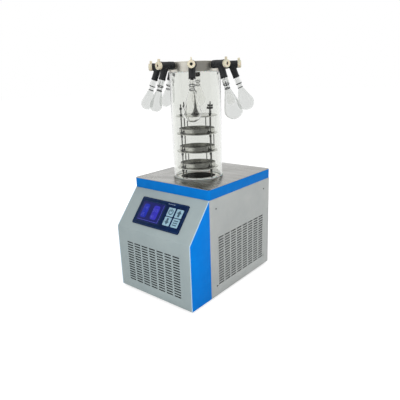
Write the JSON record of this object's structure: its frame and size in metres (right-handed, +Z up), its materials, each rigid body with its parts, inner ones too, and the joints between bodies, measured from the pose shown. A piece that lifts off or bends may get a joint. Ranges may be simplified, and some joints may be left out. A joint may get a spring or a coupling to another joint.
{
  "type": "freeze dryer",
  "caption": "Bench-top freeze dryer: refrigerated cabinet with a sloped control face, cold trap, clear chamber with a tray rack, and a manifold head of rubber valves with glass flasks.",
  "frame": {"origin": "on the bench under the middle of the whole object's box", "axes": "+X to the right seen from the control face, +Y from the front to the back, +Z up"},
  "size_m": [0.5288, 0.671, 1.0492],
  "materials": {
    "grey_paint": "light grey powder coat",
    "blue_paint": "bright blue, semi-gloss",
    "stainless": "polished stainless steel",
    "satin_stainless": "satin stainless steel",
    "black_rubber": "matt black rubber",
    "ivory_plastic": "ivory plastic",
    "glass": "clear glass",
    "clear_acrylic": "clear acrylic tube",
    "silicone": "translucent silicone",
    "navy_panel": "navy printed overlay",
    "screen": "blue liquid crystal display",
    "key_film": "light blue key caps",
    "black_plastic": "black moulded plastic",
    "black_paint": "black enamel",
    "bare_aluminium": "mill finish",
    "copper": "copper tube",
    "galvanised": "galvanised sheet"
  },
  "bodies": {
    "cabinet": {"base_pan": "galvanised", "foot_front_left": "black_rubber", "foot_front_right": "black_rubber", "foot_rear_left": "black_rubber", "foot_rear_right": "black_rubber", "front_cover": "grey_paint", "front_cheek_left": "blue_paint", "front_cheek_right": "blue_paint", "left_side_panel": "grey_paint", "right_side_panel": "grey_paint", "rear_panel": "grey_paint", "worktop_trim": "blue_paint", "worktop": "stainless", "control_panel": "navy_panel", "display": "screen", "cold_trap": "stainless", "cold_trap_floor": "stainless", "condenser": "bare_aluminium", "fan_shroud": "black_paint", "compressor": "black_paint", "vacuum_port": "stainless", "power_inlet": "black_plastic", "chamber_gasket": "silicone", "chamber_cylinder": "clear_acrylic", "lid_gasket": "silicone", "manifold_head": "stainless", "rack_frame": "satin_stainless", "tray_1": "satin_stainless", "tray_2": "satin_stainless", "tray_3": "satin_stainless", "valve_1": "black_rubber", "flask_1": "glass", "valve_2": "black_rubber", "flask_2": "glass", "valve_3": "black_rubber", "flask_3": "glass", "valve_4": "black_rubber", "flask_4": "glass", "valve_5": "black_rubber", "flask_5": "glass", "valve_6": "black_rubber", "flask_6": "glass", "valve_7": "black_rubber", "flask_7": "glass", "valve_8": "black_rubber", "flask_8": "glass"},
    "valve_knob_1_body": {"valve_knob_1": "ivory_plastic"},
    "valve_knob_2_body": {"valve_knob_2": "ivory_plastic"},
    "valve_knob_3_body": {"valve_knob_3": "ivory_plastic"},
    "valve_knob_4_body": {"valve_knob_4": "ivory_plastic"},
    "valve_knob_5_body": {"valve_knob_5": "ivory_plastic"},
    "valve_knob_6_body": {"valve_knob_6": "ivory_plastic"},
    "valve_knob_7_body": {"valve_knob_7": "ivory_plastic"},
    "valve_knob_8_body": {"valve_knob_8": "ivory_plastic"},
    "fan_rotor_body": {"fan_rotor": "bare_aluminium"},
    "power_switch_body": {"power_switch": "black_plastic"},
    "key_1_body": {"key_1": "key_film"},
    "key_2_body": {"key_2": "key_film"},
    "key_3_body": {"key_3": "key_film"},
    "key_4_body": {"key_4": "key_film"}
  },
  "joints": [
    {"name": "valve_knob_1_turn", "type": "hinge", "parent": "cabinet", "child": "valve_knob_1_body", "pos_m": [0.10091, -0.15107, 1.0222], "axis": [0.5878, -0.809, 0], "range_deg": [0, 180]},
    {"name": "valve_knob_2_turn", "type": "hinge", "parent": "cabinet", "child": "valve_knob_2_body", "pos_m": [0.17781, -0.02558, 1.0222], "axis": [0.9877, -0.1564, 0], "range_deg": [0, 180]},
    {"name": "valve_knob_3_turn", "type": "hinge", "parent": "cabinet", "child": "valve_knob_3_body", "pos_m": [0.14345, 0.11753, 1.0222], "axis": [0.809, 0.5878, 0], "range_deg": [0, 180]},
    {"name": "valve_knob_4_turn", "type": "hinge", "parent": "cabinet", "child": "valve_knob_4_body", "pos_m": [0.01796, 0.19443, 1.0222], "axis": [0.1564, 0.9877, 0], "range_deg": [0, 180]},
    {"name": "valve_knob_5_turn", "type": "hinge", "parent": "cabinet", "child": "valve_knob_5_body", "pos_m": [-0.12515, 0.16007, 1.0222], "axis": [-0.5878, 0.809, 0], "range_deg": [0, 180]},
    {"name": "valve_knob_6_turn", "type": "hinge", "parent": "cabinet", "child": "valve_knob_6_body", "pos_m": [-0.20206, 0.03458, 1.0222], "axis": [-0.9877, 0.1564, 0], "range_deg": [0, 180]},
    {"name": "valve_knob_7_turn", "type": "hinge", "parent": "cabinet", "child": "valve_knob_7_body", "pos_m": [-0.1677, -0.10853, 1.0222], "axis": [-0.809, -0.5878, 0], "range_deg": [0, 180]},
    {"name": "valve_knob_8_turn", "type": "hinge", "parent": "cabinet", "child": "valve_knob_8_body", "pos_m": [-0.0422, -0.18543, 1.0222], "axis": [-0.1564, -0.9877, 0], "range_deg": [0, 180]},
    {"name": "fan_spin", "type": "hinge", "parent": "cabinet", "child": "fan_rotor_body", "pos_m": [-0.01212, -0.2392, 0.1368], "axis": [0, 1, 0], "continuous": true},
    {"name": "power_switch_rock", "type": "hinge", "parent": "cabinet", "child": "power_switch_body", "pos_m": [-0.13162, 0.2983, 0.09], "axis": [1, 0, 0], "range_deg": [-14, 0]},
    {"name": "key_1_press", "type": "slide", "parent": "cabinet", "child": "key_1_body", "axis": [0, 0.7657, -0.6432], "range_m": [0, 0.0008], "stiffness_N_per_m": 800, "springref_m": -0.001},
    {"name": "key_2_press", "type": "slide", "parent": "cabinet", "child": "key_2_body", "axis": [0, 0.7657, -0.6432], "range_m": [0, 0.0008], "stiffness_N_per_m": 800, "springref_m": -0.001},
    {"name": "key_3_press", "type": "slide", "parent": "cabinet", "child": "key_3_body", "axis": [0, 0.7657, -0.6432], "range_m": [0, 0.0008], "stiffness_N_per_m": 800, "springref_m": -0.001},
    {"name": "key_4_press", "type": "slide", "parent": "cabinet", "child": "key_4_body", "axis": [0, 0.7657, -0.6432], "range_m": [0, 0.0008], "stiffness_N_per_m": 800, "springref_m": -0.001}
  ]
}
